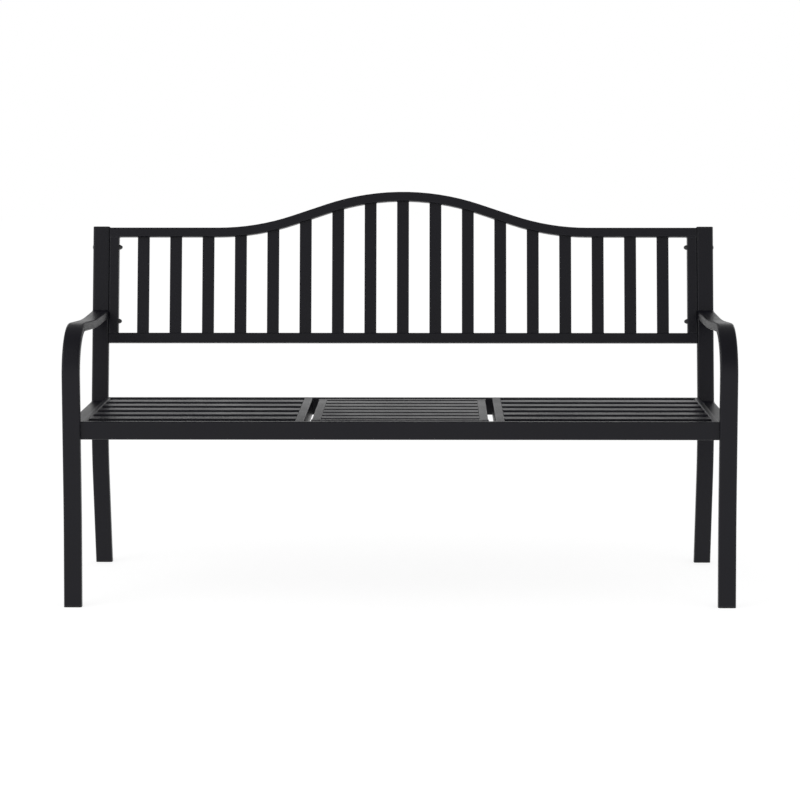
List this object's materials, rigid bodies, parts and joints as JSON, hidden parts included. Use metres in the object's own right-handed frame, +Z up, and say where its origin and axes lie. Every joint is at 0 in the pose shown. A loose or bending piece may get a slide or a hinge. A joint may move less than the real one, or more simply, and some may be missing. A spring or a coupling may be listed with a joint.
{
  "type": "garden bench with table",
  "caption": "Black steel garden bench with slatted seats, an arched slatted back and a middle panel that lifts to a table.",
  "frame": {"origin": "on the ground, under the middle of the bench's outline", "axes": "+X to the right seen from the front, +Y to the back, +Z up"},
  "size_m": [1.5148, 0.6098, 0.9054],
  "materials": {
    "black_powder_coat": "satin black powder coat",
    "plastic_caps": "moulded black plastic",
    "rubber_buffers": "matt",
    "black_fasteners": "black finish on steel",
    "zinc_fasteners": "dull zinc plate"
  },
  "bodies": {
    "bench": {"back_bolts": "black_fasteners", "back_bottom_rail": "black_powder_coat", "back_cap_nuts": "black_fasteners", "back_top_rail": "black_powder_coat", "centre_back_slat": "black_powder_coat", "front_foot_caps": "plastic_caps", "hex_nuts": "zinc_fasteners", "left_back_slats": "black_powder_coat", "left_back_stile": "black_powder_coat", "left_front_leg_and_arm": "black_powder_coat", "left_rear_leg_and_post": "black_powder_coat", "left_seat_slat_1": "black_powder_coat", "left_seat_slat_2": "black_powder_coat", "left_seat_slat_3": "black_powder_coat", "left_seat_slat_4": "black_powder_coat", "left_seat_slat_5": "black_powder_coat", "left_side_stretcher": "black_powder_coat", "lower_pivot_bolts": "zinc_fasteners", "pivot_spacers": "zinc_fasteners", "post_top_caps": "plastic_caps", "rear_foot_caps": "plastic_caps", "rest_buffers": "rubber_buffers", "rest_tabs": "black_powder_coat", "right_back_slats": "black_powder_coat", "right_back_stile": "black_powder_coat", "right_front_leg_and_arm": "black_powder_coat", "right_rear_leg_and_post": "black_powder_coat", "right_seat_slat_1": "black_powder_coat", "right_seat_slat_2": "black_powder_coat", "right_seat_slat_3": "black_powder_coat", "right_seat_slat_4": "black_powder_coat", "right_seat_slat_5": "black_powder_coat", "right_side_stretcher": "black_powder_coat", "seat_bolts": "black_fasteners", "seat_front_rail": "black_powder_coat", "seat_left_cross_rail": "black_powder_coat", "seat_left_end_rail": "black_powder_coat", "seat_rear_rail": "black_powder_coat", "seat_right_cross_rail": "black_powder_coat", "seat_right_end_rail": "black_powder_coat"},
    "front_links": {"left_front_link": "black_powder_coat", "right_front_link": "black_powder_coat", "front_link_cross_rod": "black_powder_coat"},
    "rear_links": {"left_rear_link": "black_powder_coat", "right_rear_link": "black_powder_coat", "rear_link_cross_rod": "black_powder_coat"},
    "table": {"table_front_member": "black_powder_coat", "table_left_member": "black_powder_coat", "table_rear_member": "black_powder_coat", "table_right_member": "black_powder_coat", "table_slat_1": "black_powder_coat", "table_slat_2": "black_powder_coat", "table_slat_3": "black_powder_coat", "table_slat_4": "black_powder_coat", "table_slat_5": "black_powder_coat", "table_slat_6": "black_powder_coat", "front_table_lugs": "black_powder_coat", "rear_table_lugs": "black_powder_coat", "upper_pivot_pins": "zinc_fasteners", "upper_pin_nuts": "zinc_fasteners"}
  },
  "joints": [
    {"name": "table_lift", "type": "hinge", "parent": "bench", "child": "front_links", "pos_m": [0, -0.21988, 0.387], "axis": [1, 0, 0], "range_deg": [0, 100]},
    {"name": "rear_link_swing", "type": "hinge", "parent": "bench", "child": "rear_links", "pos_m": [0, -0.09488, 0.387], "axis": [1, 0, 0], "range_deg": [0, 100]},
    {"name": "table_level", "type": "hinge", "parent": "front_links", "child": "table", "pos_m": [0, -0.01988, 0.387], "axis": [1, 0, 0], "range_deg": [-100, 0]}
  ],
  "couplings": [
    {"joint": "rear_link_swing", "follows": "table_lift", "ratio": 1},
    {"joint": "table_level", "follows": "table_lift", "ratio": -1}
  ]
}
